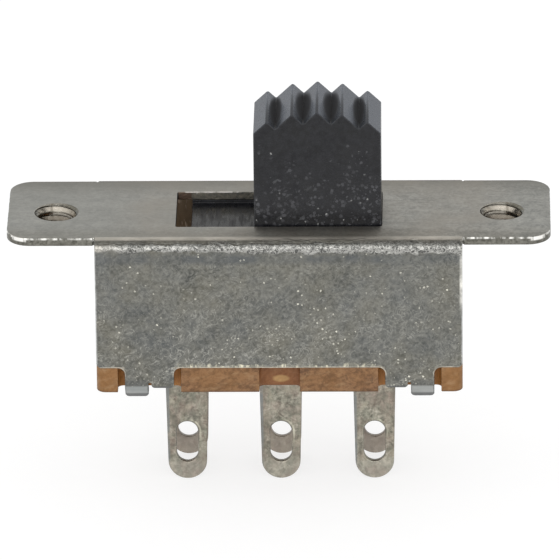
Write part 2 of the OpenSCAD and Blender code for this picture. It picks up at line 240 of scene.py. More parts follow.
# %% Mottling: clouds, short swirled strokes and fine grit together
tree, given, result = new_group(
    "mottle", [("Vector", "vector"), ("Cloud", 0.5), ("Stroke", 2.0), ("Grit", 6.0)],
    [("Height", "Float"), ("Tone", "Float"), ("Cloud", "Float")])
clouds = noise(tree, given["Vector"], given["Cloud"], roughness=0.5)
strokes = noise(tree, given["Vector"], given["Stroke"], detail=4, roughness=0.65, distortion=1.8)
grit = noise(tree, given["Vector"], given["Grit"], roughness=0.7)
rough_part = plus(tree, strokes, times(tree, grit, 0.9))
tree.links.new(ramp(tree, rough_part, 0.65, 1.25), result["Height"])
tree.links.new(ramp(tree, rough_part, 0.77, 1.13), result["Tone"])
tree.links.new(ramp(tree, clouds, 0.35, 0.65), result["Cloud"])
mottle_group = tree
print("group:", tree.name)

# %% Creases: thin curling lines where a noise crosses its middle value
tree, given, result = new_group(
    "creases", [("Vector", "vector"), ("Scale", 2.0), ("Width", 0.06)],
    [("Mask", "Float"), ("Height", "Float")])
wave = noise(tree, given["Vector"], given["Scale"], detail=2, roughness=0.6, distortion=1.2)
off_middle = size_of(tree, minus(tree, wave, 0.5))
line = minus(tree, 1.0, maths(tree, "DIVIDE", off_middle, given["Width"]))
tree.links.new(ramp(tree, line, 0.0, 0.7), result["Mask"])
tree.links.new(wave, result["Height"])
crease_group = tree
print("group:", tree.name)

# %% Specks
tree, given, result = new_group(
    "specks", [("Vector", "vector"), ("Scale", 1.5), ("Size", 0.12), ("Share", 0.3)],
    [("Mask", "Float")])
cells = add(tree, "ShaderNodeTexVoronoi",
            {"Vector": given["Vector"], "Scale": given["Scale"], "Randomness": 1.0})
chance = add(tree, "ShaderNodeSeparateColor", {"Color": cells.outputs["Color"]})
chosen = maths(tree, "LESS_THAN", chance.outputs[0], given["Share"])
ragged = noise(tree, given["Vector"], 9.0, detail=2)
reach = times(tree, given["Size"], ragged, 2.0, plus(tree, chance.outputs[1], 0.4))
near = maths(tree, "LESS_THAN", cells.outputs["Distance"], reach)
strength = plus(tree, times(tree, chance.outputs[2], 0.7), 0.3)
tree.links.new(times(tree, near, chosen, strength), result["Mask"])
specks_group = tree
print("group:", tree.name)

# %% Places close to an edge
tree, given, result = new_group(
    "edge_mask", [("Vector", "vector"), ("Radius", 0.1), ("Ragged", 0.5)], [("Mask", "Float")])
radius = times(tree, given["Radius"], MM)
rounded = add(tree, "ShaderNodeBevel", {"Radius": radius}, samples=6).outputs["Normal"]
flat = add(tree, "ShaderNodeNewGeometry").outputs["Normal"]
turn = add(tree, "ShaderNodeVectorMath", {0: rounded, 1: flat}, operation="DOT_PRODUCT")
bent = ramp(tree, turn.outputs["Value"], 0.995, 0.8)
patchy = ramp(tree, noise(tree, given["Vector"], 2.5, detail=4, roughness=0.7), 0.35, 0.65)
uneven = mix(tree, given["Ragged"], 1.0, patchy)
tree.links.new(times(tree, bent, uneven), result["Mask"])
edge_group = tree
print("group:", tree.name)

# %% [markdown]
# ## Plated steel
#
# The frame is pressed from rolled strip, so its top face keeps faint lines along its length and
# a few handling marks. The walls rubbed against the die as they were folded down, and the parts
# then tumbled in the plating barrel: they are mottled, with bright glints, and painted darker
# than the top, partly as painted shade of the duller surroundings they reflect. Along each fold
# the plating is stretched and crinkled, with painted highlights on the crinkles, and the sheared
# edges have burrs with painted highlights. One material does it all, and picks the finish from
# the direction of the surface and its place.

# %% Where things are on the frame, in millimetres
FRAME_LOW, FRAME_HIGH = (Vector(corner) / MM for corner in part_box("frame"))
BOARD_LOW, BOARD_HIGH = (Vector(corner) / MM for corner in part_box("terminal_board"))
MIDDLE_Y = (FRAME_LOW.y + FRAME_HIGH.y) / 2
FOLD_START = 4.5        # where the top begins to turn over, from the middle line
WALL_FOOT = BOARD_HIGH.z
HALF_LENGTH = BOARD_HIGH.x   # of the folded channel
EAR_START = HALF_LENGTH + 0.03
TAB_START, TAB_END = HALF_LENGTH - 4.97, HALF_LENGTH - 1.82   # along the wall
ROOT_RADIUS = 0.45      # of the hollow corners beside the tabs
FINGER_WIDTH = 1.5      # at the outer side of each tab
FINGER_BEND = -10.1     # the fingers are bent inwards below this height
SLOT_END, SLOT_BACK = -6.6, MIDDLE_Y + 2.775
HOLE_X = 14.3           # the screw holes, on the line y = 0
MOUTH_RADIUS = 1.44     # of their countersunk mouths
print("frame from", [round(v, 2) for v in FRAME_LOW], "to", [round(v, 2) for v in FRAME_HIGH])


# %% The frame's top face
def top_face_color(tree, place, x, y):
    lines = use(tree, lines_group, Vector=stretched(tree, place, turn=(0, 0, 4)),
                Along=0.35, Across=6.0)
    scratches = use(tree, lines_group, Vector=stretched(tree, place, turn=(0, 0, -24)),
                    Along=0.5, Across=8.0)
    grain = use(tree, mottle_group, Vector=place, Cloud=0.28, Stroke=1.3, Grit=5.0)
    stains = use(tree, mottle_group, Vector=place, Cloud=0.6, Stroke=0.7, Grit=2.0)
    tone = plus(tree, times(tree, lines["Tone"], 0.35), times(tree, grain["Tone"], 0.4),
                times(tree, stains["Tone"], 0.25))
    # One end is rubbed smoother, so the tones there stay closer to the middle one.
    contrast = ramp(tree, x, -6.0, 5.0, 0.5, 1.0)
    tone = plus(tree, times(tree, minus(tree, tone, 0.5), contrast), 0.5)
    color = blend(tree, ramp(tree, tone, 0.2, 0.8), (0.215, 0.217, 0.205), (0.44, 0.432, 0.4))
    color = paint(tree, color, (0.38, 0.37, 0.338), grain["Cloud"], 0.3)
    worn = times(tree, ramp(tree, scratches["Tone"], 0.65, 0.95), stains["Cloud"])
    color = paint(tree, color, (0.5, 0.49, 0.455), worn, 0.35)
    broad = ramp(tree, noise(tree, place, 0.33), 0.38, 0.62)
    color = paint(tree, color, (0.225, 0.222, 0.2), broad, 0.3)
    back = ramp(tree, y, MIDDLE_Y + 2.2, MIDDLE_Y + 4.5)
    color = paint(tree, color, (0.19, 0.18, 0.155), back, 0.75)
    # A warm tint beside the slot and towards one ear, a painted reflection of the brown parts.
    warm_reflection = band(tree, x, -8.5, 13.0, 2.5)
    color = paint(tree, color, (0.33, 0.29, 0.24), warm_reflection, plus(tree, grain["Cloud"], 0.35), 0.3)
    return color, lines["Height"], grain["Height"]


print("top face ready")


# %% The frame's walls
def wall_color(tree, place, x, z):
    grain = use(tree, mottle_group, Vector=place, Cloud=0.55, Stroke=1.5, Grit=4.2)
    shade = use(tree, mottle_group, Vector=place, Cloud=0.3, Stroke=0.8, Grit=2.4)
    curls = use(tree, crease_group, Vector=place, Scale=1.8, Width=0.045)
    rubs = use(tree, lines_group, Vector=stretched(tree, place, turn=(0, 38, 0)),
               Along=0.8, Across=3.6)
    tone = plus(tree, times(tree, grain["Tone"], 0.62), times(tree, rubs["Tone"], 0.38))
    # The walls' mottled tones run darker than the top's, partly as painted shade: the walls reflect duller
    # surroundings.
    color = blend(tree, tone, (0.067, 0.069, 0.063), (0.264, 0.261, 0.235))
    color = paint(tree, color, (0.1, 0.104, 0.104), shade["Tone"], 0.3)
    color = paint(tree, color, (0.225, 0.205, 0.15), grain["Cloud"], 0.3)
    color = paint(tree, color, (0.13, 0.14, 0.148), shade["Cloud"], 0.35)
    color = paint(tree, color, (0.36, 0.355, 0.32), curls["Mask"], shade["Tone"], 0.38)
    # Slanting strokes from the die are clearest low down and towards one end.
    strokes = times(tree, ramp(tree, rubs["Tone"], 0.45, 0.7), ramp(tree, z, -3.0, -7.5),
                    ramp(tree, x, 2.0, -6.0, 0.35, 1.0))
    color = paint(tree, color, (0.5, 0.49, 0.445), strokes, curls["Mask"], 0.45)
    # Just below the fold a strip of the wall is painted darker in places, a painted reflection.
    dark_reflection_strip = times(tree, band(tree, z, -1.4, -1.15, 0.35),
                 ramp(tree, noise(tree, place, 0.5), 0.35, 0.6, 0.15, 0.7))
    color = paint(tree, color, (0.1, 0.108, 0.115), dark_reflection_strip)
    # Glints gather in patches, and towards the lower edge.
    gathered = times(tree, ramp(tree, noise(tree, place, 0.55, detail=2), 0.46, 0.62, 0.03, 1.0),
                     ramp(tree, z, -1.5, -7.5, 0.12, 0.7))
    gathered = plus(tree, gathered, ramp(tree, z, -8.7, -9.2, 0.0, 0.4))
    glints = use(tree, specks_group, Vector=place, Scale=4.1, Size=0.22, Share=gathered)["Mask"]
    dim = ramp(tree, noise(tree, place, 1.3, detail=2), 0.4, 0.62, 0.3, 1.0)
    color = paint(tree, color, (0.78, 0.76, 0.66), glints, dim)
    # Burrs hang from the sheared lower edges, between the tabs, with a painted highlight on them.
    from_middle = size_of(tree, x)
    ragged = ramp(tree, noise(tree, place, 1.6), 0.4, 0.6, 0.35, 1.0)
    on_tab = band(tree, from_middle, TAB_START, TAB_END, 0.05)
    upright = noise(tree, stretched(tree, place, (4.0, 4.0, 0.9)), 1.0, detail=4, roughness=0.7)
    depth = ramp(tree, noise(tree, place, 1.1, detail=2), 0.35, 0.65, 0.08, 0.4)
    hem = ramp(tree, minus(tree, z, depth), WALL_FOOT + 0.05, WALL_FOOT - 0.05)
    hem = times(tree, hem, ramp(tree, from_middle, TAB_START, TAB_START - 0.2))
    burr_highlights = times(tree, hem, ramp(tree, upright, 0.48, 0.62, 0.1, 1.0))
    color = paint(tree, color, (0.78, 0.74, 0.58), burr_highlights, 0.9)
    foot = times(tree, ramp(tree, z, WALL_FOOT + 0.11, WALL_FOOT + 0.07), minus(tree, 1.0, on_tab))
    # The hollow corners at the root of each tab have the same painted highlight round them.
    tab_half, tab_middle = (TAB_END - TAB_START) / 2, (TAB_END + TAB_START) / 2
    root_level = WALL_FOOT - ROOT_RADIUS
    off_tab = size_of(tree, minus(tree, from_middle, tab_middle))
    beside = larger(tree, minus(tree, tab_half + ROOT_RADIUS, off_tab), 0.0)
    over = larger(tree, minus(tree, z, root_level), 0.0)
    off_root = length_of(tree, beside, over)
    root = times(tree, band(tree, off_root, ROOT_RADIUS - 0.1, ROOT_RADIUS + 0.07, 0.03),
                 ramp(tree, z, root_level - 0.2, root_level))
    root = larger(tree, times(tree, foot, 0.5), times(tree, root, 0.8))
    color = paint(tree, color, (0.56, 0.51, 0.43), root, ragged)
    # The wall's upright sheared ends get a painted highlight, most of all the +X one.
    end = times(tree, ramp(tree, from_middle, HALF_LENGTH - 0.1, HALF_LENGTH - 0.03),
                ramp(tree, z, -0.5, -0.9))
    color = paint(tree, color, (0.5, 0.51, 0.51), end, ragged)
    flare_highlight = times(tree, band(tree, x, HALF_LENGTH - 0.12, HALF_LENGTH + 0.02, 0.1),
                   band(tree, z, -3.0, -0.6, 2.5))
    color = paint(tree, color, (0.88, 0.86, 0.8), flare_highlight, ragged)
    # The bent fingers were rubbed smooth by the clinching tool. Above them, where the tab starts to
    # bend, a dark reflection is painted in as shade.
    bend_shade = times(tree, band(tree, z, FINGER_BEND + 0.04, FINGER_BEND + 0.2, 0.35),
                 band(tree, from_middle, TAB_END - FINGER_WIDTH - 0.03, TAB_END, 0.1))
    color = paint(tree, color, (0.09, 0.095, 0.098), bend_shade, 0.4)
    smooth = blend(tree, grain["Cloud"], (0.35, 0.37, 0.365), (0.43, 0.44, 0.425))
    # Each finger has a dark line along its end and down its sides.
    outline = (0.13, 0.135, 0.135)
    smooth = paint(tree, smooth, outline, ramp(tree, z, FINGER_BEND - 0.7, FINGER_BEND - 0.85))
    across = size_of(tree, minus(tree, from_middle, TAB_END - FINGER_WIDTH / 2))
    smooth = paint(tree, smooth, outline, ramp(tree, across, FINGER_WIDTH / 2 - 0.1, FINGER_WIDTH / 2))
    rubbed = ramp(tree, z, FINGER_BEND, FINGER_BEND - 0.15)
    color = paint(tree, color, smooth, rubbed, 0.9)
    height = plus(tree, grain["Height"], times(tree, glints, 2.0), shade["Height"], rubs["Height"])
    height = times(tree, height, minus(tree, 1.0, rubbed))
    return color, height


print("walls ready")


# %% The whole finish
def plated_steel():
    material, tree, shader, place = new_material("plated_steel")
    facing = split(tree, add(tree, "ShaderNodeNewGeometry").outputs["True Normal"])
    x, y, z = split(tree, place)
    along = size_of(tree, x)   # from the middle, towards either end
    top = ramp(tree, facing["Z"], 0.8, 0.97)
    color_top, line_height, top_grain = top_face_color(tree, place, x, y)
    color_wall, wall_height = wall_color(tree, place, x, z)
    color = blend(tree, top, color_wall, color_top)

    # The crinkled band of the fold, its curls painted light as highlights on the crinkles.
    waver = ramp(tree, noise(tree, place, 1.2), 0.3, 0.7, -0.12, 0.12)
    wavy_z = plus(tree, z, waver)
    sideways = size_of(tree, minus(tree, y, MIDDLE_Y))
    on_channel = times(tree, ramp(tree, sideways, FOLD_START, FOLD_START + 0.15),
                       maths(tree, "LESS_THAN", along, EAR_START))
    lower = plus(tree, wavy_z, ramp(tree, x, -HALF_LENGTH, HALF_LENGTH - 3.0, -0.19, 0.02))
    upper = minus(tree, wavy_z, ramp(tree, x, 3.0, 9.0, 0.0, 0.09))
    outer = times(tree, ramp(tree, lower, -0.98, -0.86), ramp(tree, upper, -0.18, -0.28), on_channel)
    wide = use(tree, crease_group, Vector=place, Scale=1.55, Width=0.06)
    thin = use(tree, crease_group, Vector=place, Scale=3.4, Width=0.08)
    curls = larger(tree, wide["Mask"], times(tree, thin["Mask"], 0.75))
    curls = times(tree, curls, ramp(tree, z, -0.3, -0.6, 0.4, 1.3))
    crinkle_and_highlights = blend(tree, curls, (0.105, 0.106, 0.1), (0.38, 0.376, 0.355))
    # Towards the -X end the fold is painted a smooth light grey, a painted highlight.
    light_fold_end = larger(tree, ramp(tree, x, 0.75 - HALF_LENGTH, 0.35 - HALF_LENGTH),
                       ramp(tree, x, 1.9 - HALF_LENGTH, 1.0 - HALF_LENGTH, 0.0, 0.45))
    crinkle_and_highlights = paint(tree, crinkle_and_highlights, (0.4, 0.385, 0.35), light_fold_end)
    color = paint(tree, color, crinkle_and_highlights, outer)
    # Just before the top turns over a painted highlight runs along it, and the turn itself is a
    # darker line of painted reflection, at the back fold too.
    front_fold, back_fold = MIDDLE_Y - FOLD_START, MIDDLE_Y + FOLD_START
    fold_highlight = times(tree, band(tree, y, front_fold - 0.22, front_fold + 0.06, 0.1),
                      ramp(tree, along, HALF_LENGTH + 0.1, HALF_LENGTH - 0.1),
                      ramp(tree, z, -0.14, -0.07))
    uneven = noise(tree, stretched(tree, place, (0.5, 1.0, 1.0)), 1.1)
    uneven = ramp(tree, uneven, 0.35, 0.6, 0.45, 0.95)
    color = paint(tree, color, (0.6, 0.572, 0.522), fold_highlight, uneven)
    turned = times(tree, band(tree, plus(tree, z, times(tree, waver, 0.3)), -0.19, -0.08, 0.03),
                   on_channel)
    behind = times(tree, ramp(tree, y, back_fold - 0.04, back_fold + 0.02), ramp(tree, z, -0.3, -0.2))
    turned = larger(tree, turned, behind)
    speckled = ramp(tree, noise(tree, place, 2.2), 0.35, 0.65, 0.0, 0.25)
    color = paint(tree, color, (0.17, 0.158, 0.137), turned, speckled)

    # The screw holes: warm metal, cut by the tap, painted darker with depth as shade, under a greyer
    # mouth that has painted shade on its +X side.
    off_hole = minus(tree, along, HOLE_X)
    reach = length_of(tree, off_hole, y)
    in_hole = times(tree, ramp(tree, reach, MOUTH_RADIUS + 0.04, MOUTH_RADIUS),
                    ramp(tree, facing["Z"], 0.97, 0.9))
    tapped = blend(tree, ramp(tree, z, -0.35, -1.1), (0.76, 0.69, 0.6), (0.19, 0.15, 0.115))
    tapped = paint(tree, tapped, (0.42, 0.4, 0.36), ramp(tree, z, -0.28, -0.12))
    mouth_shade = times(tree, ramp(tree, z, -0.42, -0.28), ramp(tree, facing["X"], -0.1, -0.45))
    tapped = paint(tree, tapped, (0.17, 0.16, 0.125), mouth_shade, 0.8)
    scored = band(tree, off_hole, 0.3, 0.4, 0.06)
    tapped = paint(tree, tapped, (0.2, 0.16, 0.12), scored, 0.6)
    color = paint(tree, color, tapped, in_hole)

    # The ears' sheared edges: grey, with a broken painted highlight along the top of the outline,
    # where a burr catches the light. In the holes the grey is a little thinner.
    on_ear = times(tree, maths(tree, "GREATER_THAN", along, EAR_START),
                   ramp(tree, facing["Z"], 0.97, 0.8))
    sheared = times(tree, on_ear, ramp(tree, z, -0.02, -0.07),
                    ramp(tree, reach, MOUTH_RADIUS + 0.02, MOUTH_RADIUS + 0.06, 0.78, 1.0))
    torn_grain = use(tree, mottle_group, Vector=place, Cloud=0.8, Stroke=1.8, Grit=5.0)
    grey = blend(tree, torn_grain["Tone"], (0.095, 0.092, 0.076), (0.225, 0.218, 0.19))
    color = paint(tree, color, grey, sheared, 0.9)
    outline = times(tree, on_ear, ramp(tree, reach, MOUTH_RADIUS + 0.06, MOUTH_RADIUS + 0.16))
    crest_highlight = times(tree, outline, band(tree, z, -0.12, 0.0, 0.03))
    broken = ramp(tree, noise(tree, stretched(tree, place, (1.0, 1.0, 0.3)), 1.9), 0.46, 0.62)
    color = paint(tree, color, (0.9, 0.89, 0.85), crest_highlight, broken)
    # Each rounded corner catches the light.
    corner = times(tree, band(tree, size_of(tree, facing["X"]), 0.3, 0.6, 0.2),
                   ramp(tree, facing["Y"], 0.0, -0.3), band(tree, z, -0.23, -0.05, 0.08))
    color = paint(tree, color, (0.95, 0.94, 0.9), corner, outline)

    # The slot's back edge kept a torn white burr over part of its length, painted as a highlight,
    # and at its free end the steel below it is painted brown, a reflection of the fibre.
    on_slot = times(tree, band(tree, y, SLOT_BACK - 0.03, SLOT_BACK + 0.06, 0.01),
                    ramp(tree, z, -0.09, -0.04))
    torn = noise(tree, stretched(tree, place, (1.0, 0.2, 0.2)), 1.9, detail=4)
    torn = times(tree, ramp(tree, torn, 0.38, 0.52), band(tree, x, SLOT_END + 0.55, SLOT_END + 3.9, 0.1))
    in_slot = times(tree, band(tree, y, SLOT_BACK - 0.03, SLOT_BACK + 0.03, 0.01),
                    ramp(tree, facing["Z"], 0.5, 0.3))
    color = paint(tree, color, (0.34, 0.31, 0.25), in_slot, torn_grain["Tone"], 0.8)
    fibre_reflection = times(tree, in_slot, band(tree, x, SLOT_END - 0.1, SLOT_END + 0.85, 0.1))
    color = paint(tree, color, (0.23, 0.155, 0.115), fibre_reflection, 0.85)
    color = paint(tree, color, (0.66, 0.63, 0.6), on_slot, torn)

    # Painted highlights, bright and ragged, on every other edge, but not on the rubbed fingers.
    edge = use(tree, edge_group, Vector=place, Radius=0.1, Ragged=0.85)["Mask"]
    off_fingers = ramp(tree, z, FINGER_BEND - 0.2, FINGER_BEND - 0.1, 0.0, 0.6)
    color = paint(tree, color, (0.75, 0.74, 0.68), edge, minus(tree, 1.0, on_ear), off_fingers)

    rough_wall = ramp(tree, noise(tree, place, 1.3), 0.3, 0.7, 0.34, 0.5)
    rough_top = ramp(tree, y, MIDDLE_Y - 3.9, MIDDLE_Y - 2.7, 0.6, 0.4)
    roughness = mix(tree, top, rough_wall, rough_top)
    roughness = mix(tree, outer, roughness, 0.26)
    roughness = mix(tree, in_hole, roughness, 0.22)

    on_top = plus(tree, line_height, top_grain)
    normal = bump(tree, times(tree, on_top, top), 0.004, 0.5)
    off_top = minus(tree, 1.0, larger(tree, top, outer))
    normal = bump(tree, times(tree, wall_height, off_top), 0.014, 0.8, normal)
    folds = plus(tree, wide["Height"], times(tree, thin["Height"], 0.5))
    creased = larger(tree, outer, times(tree, turned, 0.7))
    normal = bump(tree, times(tree, folds, creased), 0.1, 0.8, normal)
    finish_with(tree, shader, color, roughness, normal, metallic=1.0)
    return material


steel = plated_steel()
print("material:", steel.name)

# %% [markdown]
# ## Tinned brass
#
# The lugs are punched from brass strip and tinned. Tin is soft and dull: it is streaked along
# the lug where the strip ran through the rollers, and cloudy and blotched where it flowed. The
# rims carry painted shade and painted highlights, and each eye has a painted dark line of shade
# round it.

# %% The lugs' finish
LUG_PITCH = 6.05        # from one lug to the next, in millimetres
LUG_LOW, LUG_HIGH = (Vector(corner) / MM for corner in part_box("lug_front_middle"))
LUG_HALF = (LUG_HIGH.x - LUG_LOW.x) / 2
EYE_HALF, EYE_LENGTH, EYE_FOOT = 0.69, 2.85, LUG_LOW.z + 1.2   # half its width, length, lowest point
EYE_LOW, EYE_HIGH = EYE_FOOT + EYE_HALF, EYE_FOOT + EYE_LENGTH - EYE_HALF   # centres of its round ends
print("a lug is", round(2 * LUG_HALF, 2), "wide, its eye's ends at", round(EYE_LOW, 2), round(EYE_HIGH, 2))


def tinned_brass():
    material, tree, shader, place = new_material("tinned_brass")
    streak = noise(tree, stretched(tree, place, (3.0, 3.0, 0.8)), 1.0, detail=4, roughness=0.6)
    grain = use(tree, mottle_group, Vector=place, Cloud=1.0, Stroke=1.6, Grit=3.6)
    shade = use(tree, mottle_group, Vector=place, Cloud=0.5, Stroke=0.9, Grit=2.2)
    edge = use(tree, edge_group, Vector=place, Radius=0.16, Ragged=0.5)["Mask"]
    tone = maths(tree, "ADD", times(tree, grain["Tone"], 0.65),
                 times(tree, ramp(tree, streak, 0.36, 0.64), 0.35), clamp=True)
    color = blend(tree, tone, (0.095, 0.089, 0.071), (0.57, 0.533, 0.443))
    color = paint(tree, color, (0.29, 0.215, 0.18), grain["Cloud"], 0.6)
    color = paint(tree, color, (0.155, 0.17, 0.13), shade["Tone"], 0.5)
    blots = noise(tree, stretched(tree, place, (1.0, 1.0, 0.7)), 1.15, roughness=0.5, distortion=0.6)
    color = paint(tree, color, (0.13, 0.125, 0.105), ramp(tree, blots, 0.52, 0.68, 0.0, 0.5))
    color = paint(tree, color, (0.44, 0.4, 0.31), ramp(tree, blots, 0.45, 0.32, 0.0, 0.4))
    glints = use(tree, specks_group, Vector=place, Scale=2.2, Size=0.09, Share=0.12)["Mask"]
    color = paint(tree, color, (0.75, 0.73, 0.66), glints)
    # The rounded end is a little brighter than the rest, and the back row is painted pinker and
    # darker, as shade behind the front row.
    x, y, z = split(tree, place)
    color = paint(tree, color, (0.6, 0.57, 0.5), ramp(tree, z, EYE_LOW - 0.3, EYE_LOW - 0.9, 0.0, 0.22))
    back_row = ramp(tree, y, MIDDLE_Y - 0.5, MIDDLE_Y + 0.5)
    color = paint(tree, color, (0.31, 0.25, 0.215), back_row, 0.45)
    # The rims' painted shade and highlights: aside is how far a point lies to the side of its own
    # lug's middle line.
    nearest = times(tree, maths(tree, "ROUND", maths(tree, "DIVIDE", x, LUG_PITCH)), LUG_PITCH)
    aside = minus(tree, x, nearest)
    by_eye = band(tree, aside, 0.15, 0.8, 0.1)
    patches = ramp(tree, noise(tree, place, 0.7, detail=2), 0.5, 0.6)
    patches = larger(tree, patches, times(tree, by_eye, 0.8))
    rim_highlight_and_shade = blend(tree, patches, (0.12, 0.118, 0.105), (0.8, 0.76, 0.66))
    color = paint(tree, color, rim_highlight_and_shade, edge, 0.8)
    # A painted dark line of shade runs round each eye, with a painted highlight arc outside it on
    # one side.
    level = maths(tree, "MINIMUM", larger(tree, z, EYE_LOW), EYE_HIGH)
    off_eye = length_of(tree, aside, minus(tree, z, level))
    line = times(tree, band(tree, off_eye, EYE_HALF - 0.05, EYE_HALF + 0.05, 0.03),
                 ramp(tree, z, EYE_HIGH - 0.5, EYE_HIGH + 0.1, 0.12, 0.7))
    color = paint(tree, color, (0.12, 0.12, 0.105), line)
    arc = times(tree, band(tree, off_eye, EYE_HALF + 0.13, EYE_HALF + 0.17, 0.06),
                ramp(tree, aside, 0.1, 0.4), ramp(tree, streak, 0.4, 0.6, 0.2, 0.9),
                ramp(tree, z, EYE_HIGH - 0.9, EYE_HIGH - 0.1, 0.15, 1.0))
    color = paint(tree, color, (0.58, 0.56, 0.45), arc)
    # The rounded edge down one side is painted bluish grey, as a painted reflection.
    bevel = times(tree, ramp(tree, aside, 0.28 - LUG_HALF, 0.2 - LUG_HALF),
                  ramp(tree, noise(tree, place, 0.8), 0.35, 0.6, 0.25, 0.85))
    color = paint(tree, color, (0.21, 0.222, 0.22), bevel)
    roughness = ramp(tree, tone, 0.0, 1.0, 0.48, 0.33)
    normal = bump(tree, streak, 0.006, 0.5)
    normal = bump(tree, grain["Height"], 0.014, 0.7, normal)
    finish_with(tree, shader, color, roughness, normal, metallic=1.0)
    return material


tin = tinned_brass()
print("material:", tin.name)

# %% [markdown]
# ## Brown laminate and fibre
#
# The terminal board is paper pressed with resin. Punching tears its edges a little, so they
# show pale fibres that lie at a slant. The board is more golden towards its ends, and dark
# along its lowest edge. The liner behind the slot is vulcanised fibre, a plain brown sheet
# with light scuffs.

# %% The board's and the liner's finishes
BOARD_HALF_WIDTH = BOARD_HIGH.y - MIDDLE_Y
DROP_X, DROP_Z = 0.07, -10.1    # the middle of a drop of resin, in millimetres
DROP_HALF_WIDTH, DROP_HALF_HEIGHT = 0.55, 0.26
print("the board is", round(2 * BOARD_HALF_WIDTH, 2), "mm wide")


def laminate():
    material, tree, shader, place = new_material("laminate")
    x, y, z = split(tree, place)
    along = size_of(tree, x)
    slanted = stretched(tree, place, (1.0, 2.2, 2.4), turn=(0, 24, 0))
    fibre = noise(tree, slanted, 0.9, detail=5, roughness=0.65, distortion=0.8)
    grain = use(tree, mottle_group, Vector=place, Cloud=0.45, Stroke=1.6, Grit=5.0)
    layers = noise(tree, stretched(tree, place, (0.2, 0.2, 9.0)), 1.0, detail=2)
    tone = ramp(tree, plus(tree, fibre, times(tree, grain["Tone"], 0.3)), 0.5, 0.8)
    color = blend(tree, tone, (0.118, 0.056, 0.025), (0.305, 0.16, 0.075))
    ends = ramp(tree, along, HALF_LENGTH - 3.0, HALF_LENGTH - 1.0)
    golden = larger(tree, times(tree, ends, 0.6), times(tree, grain["Cloud"], 0.35))
    color = paint(tree, color, (0.36, 0.17, 0.045), golden)
    tilted = stretched(tree, place, (1.0, 2.0, 2.2), turn=(0, 12, 0))
    streaks = noise(tree, tilted, 1.1, detail=4, roughness=0.65)
    color = paint(tree, color, (0.46, 0.29, 0.15), ramp(tree, streaks, 0.52, 0.72, 0.0, 0.5))
    corner = ramp(tree, z, BOARD_LOW.z + 0.16, BOARD_LOW.z + 0.04)
    color = paint(tree, color, (0.09, 0.045, 0.02), corner, 0.6)
    # Deep in the notches the board is painted lighter, most of all orange beside the tabs: painted
    # light that lifts their shade.
    inside = times(tree, ramp(tree, size_of(tree, minus(tree, y, MIDDLE_Y)),
                              BOARD_HALF_WIDTH - 0.05, BOARD_HALF_WIDTH - 0.4),
                   ramp(tree, along, TAB_END + 0.7, TAB_END + 0.5))
    by_tab = ramp(tree, along, 2.0, 3.0)
    notch_light = blend(tree, by_tab, (0.3, 0.1, 0.028), (0.62, 0.27, 0.075))
    color = paint(tree, color, notch_light, inside, ramp(tree, by_tab, 0.0, 1.0, 0.5, 0.75))
    # A drop of resin dried in the middle notch in front.
    across = maths(tree, "DIVIDE", minus(tree, x, DROP_X), DROP_HALF_WIDTH)
    upward = maths(tree, "DIVIDE", minus(tree, z, DROP_Z), DROP_HALF_HEIGHT)
    out = squares(tree, across, upward)
    drop = times(tree, ramp(tree, out, 1.2, 0.5), ramp(tree, y, MIDDLE_Y - 3.8, MIDDLE_Y - 4.0))
    color = paint(tree, color, (0.75, 0.48, 0.2), drop, fibre)
    normal = bump(tree, plus(tree, fibre, times(tree, layers, 0.3)), 0.018, 0.5)
    finish_with(tree, shader, color, ramp(tree, fibre, 0.3, 0.7, 0.62, 0.45), normal)
    return material


def vulcanised_fibre():
    material, tree, shader, place = new_material("vulcanised_fibre")
    fibre = noise(tree, stretched(tree, place, (3.0, 1.0, 1.0)), 1.2, detail=4, roughness=0.6)
    scuff = noise(tree, stretched(tree, place, (5.0, 1.2, 1.2), turn=(0, 0, 25)), 1.0)
    color = blend(tree, fibre, (0.2, 0.14, 0.09), (0.42, 0.31, 0.2))
    color = paint(tree, color, (0.75, 0.62, 0.48), ramp(tree, scuff, 0.6, 0.7))
    finish_with(tree, shader, color, 0.55, bump(tree, fibre, 0.02, 0.5))
    return material


board_finish = laminate()
liner_finish = vulcanised_fibre()
print("materials:", board_finish.name, liner_finish.name)

# %% [markdown]
# ## Black moulding
#
# Knob and carriage are one moulding in black nylon. Its skin is satin with a faint spark
# texture from the mould, its edges and the ridges' upper faces carry painted highlights, each
# valley a lens of painted shade, and lint sticks to it: pale specks, most of them low on the
# knob, where it has been slid through the slot's dust.

# %% Where the knob's valleys are, in millimetres
SLIDER_LOW, SLIDER_HIGH = (Vector(corner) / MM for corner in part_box("slider"))
KNOB_X = (SLIDER_LOW.x + SLIDER_HIGH.x) / 2
VALLEY_SHADE_HALF_LENGTH = 2.3874   # a lens of painted shade is a little shorter than its valley
KNOB_SHOULDER = 5.6     # below the lowest valley
INNER_VALLEY, OUTER_VALLEY = (0.885, 0.5), (2.667, 0.38)   # its offset, and half the width of its painted shade
VALLEYS = [(KNOB_X + side * offset, half_width)
           for side in (-1, 1) for offset, half_width in (INNER_VALLEY, OUTER_VALLEY)]
print("valleys at x =", sorted(round(valley, 2) for valley, half_width in VALLEYS))

